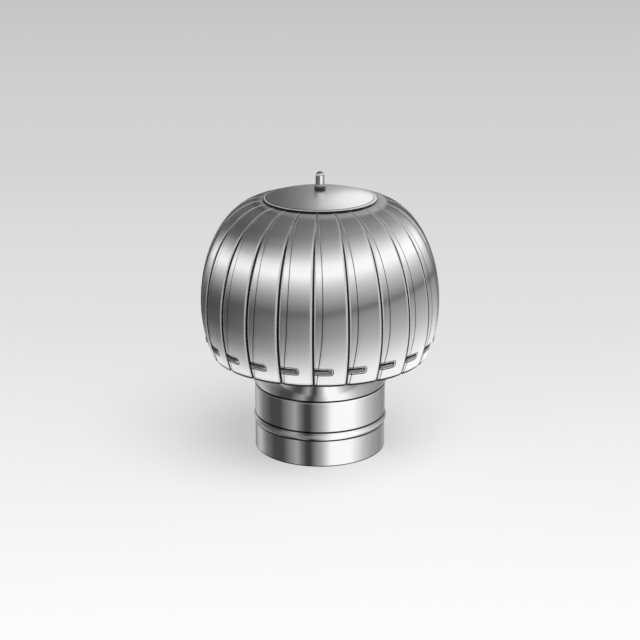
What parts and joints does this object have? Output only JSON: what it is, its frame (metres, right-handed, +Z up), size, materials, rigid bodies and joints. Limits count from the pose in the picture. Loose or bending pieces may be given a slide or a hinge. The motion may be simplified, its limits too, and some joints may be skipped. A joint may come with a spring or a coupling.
{
  "type": "rotating chimney cowl",
  "caption": "Wind-turned chimney cowl: a globe of lapped steel vanes under a shallow dome, spinning on a bearing mast above a beaded flue spigot.",
  "frame": {"origin": "centre of the spigot's bottom edge, on the cowl's axis", "axes": "+Z up along the spindle; -Y is the side turned to the viewer in the picture, +X to its right"},
  "size_m": [0.27, 0.27, 0.3223],
  "materials": {
    "neck_sheet": "polished",
    "vane_sheet": "polished",
    "dome_sheet": "polished",
    "fitting_steel": "satin",
    "spindle_steel": "turned and polished",
    "bearing_steel": "ground",
    "cage_brass": "satin",
    "fastener_steel": "satin",
    "spring_steel": "dark phosphated",
    "seal_rubber": "matte",
    "collar_plastic": "matte"
  },
  "bodies": {
    "base": {"spigot": "neck_sheet", "throat": "neck_sheet", "lower_bridge": "fitting_steel", "upper_bridge": "fitting_steel", "mast": "fitting_steel", "mast_cap": "fitting_steel", "lower_bearing_outer_race": "bearing_steel", "upper_bearing_outer_race": "bearing_steel", "lower_housing_circlip": "spring_steel", "upper_housing_circlip": "spring_steel", "flange_screws": "fastener_steel", "flange_nuts": "fastener_steel"},
    "lower_cage": {"lower_bearing_balls": "bearing_steel", "lower_bearing_cage": "cage_brass"},
    "upper_cage": {"upper_bearing_balls": "bearing_steel", "upper_bearing_cage": "cage_brass"},
    "head": {"spindle": "spindle_steel", "lower_bearing_inner_race": "bearing_steel", "upper_bearing_inner_race": "bearing_steel", "spacer_sleeve": "fitting_steel", "spindle_circlip": "spring_steel", "rain_shield": "fitting_steel", "hub": "fitting_steel", "hub_screws": "fastener_steel", "hub_nuts": "fastener_steel", "hub_grub_screws": "fastener_steel", "top_plate": "fitting_steel", "vane_01": "vane_sheet", "vane_02": "vane_sheet", "vane_03": "vane_sheet", "vane_04": "vane_sheet", "vane_05": "vane_sheet", "vane_06": "vane_sheet", "vane_07": "vane_sheet", "vane_08": "vane_sheet", "vane_09": "vane_sheet", "vane_10": "vane_sheet", "vane_11": "vane_sheet", "vane_12": "vane_sheet", "vane_13": "vane_sheet", "vane_14": "vane_sheet", "vane_15": "vane_sheet", "vane_16": "vane_sheet", "vane_17": "vane_sheet", "vane_18": "vane_sheet", "vane_19": "vane_sheet", "vane_20": "vane_sheet", "vane_21": "vane_sheet", "vane_22": "vane_sheet", "vane_rivets": "fastener_steel", "lower_ring": "fitting_steel", "dome": "dome_sheet", "seal_washer": "seal_rubber", "dome_collar": "collar_plastic"}
  },
  "joints": [
    {"name": "head_spin", "type": "hinge", "parent": "base", "child": "head", "pos_m": [0, 0, 0.1], "axis": [0, 0, 1], "continuous": true},
    {"name": "lower_cage_creep", "type": "hinge", "parent": "base", "child": "lower_cage", "pos_m": [0, 0, 0.03], "axis": [0, 0, 1], "continuous": true},
    {"name": "upper_cage_creep", "type": "hinge", "parent": "base", "child": "upper_cage", "pos_m": [0, 0, 0.192], "axis": [0, 0, 1], "continuous": true}
  ],
  "couplings": [
    {"joint": "lower_cage_creep", "follows": "head_spin", "ratio": 0.3678},
    {"joint": "upper_cage_creep", "follows": "head_spin", "ratio": 0.3678}
  ]
}
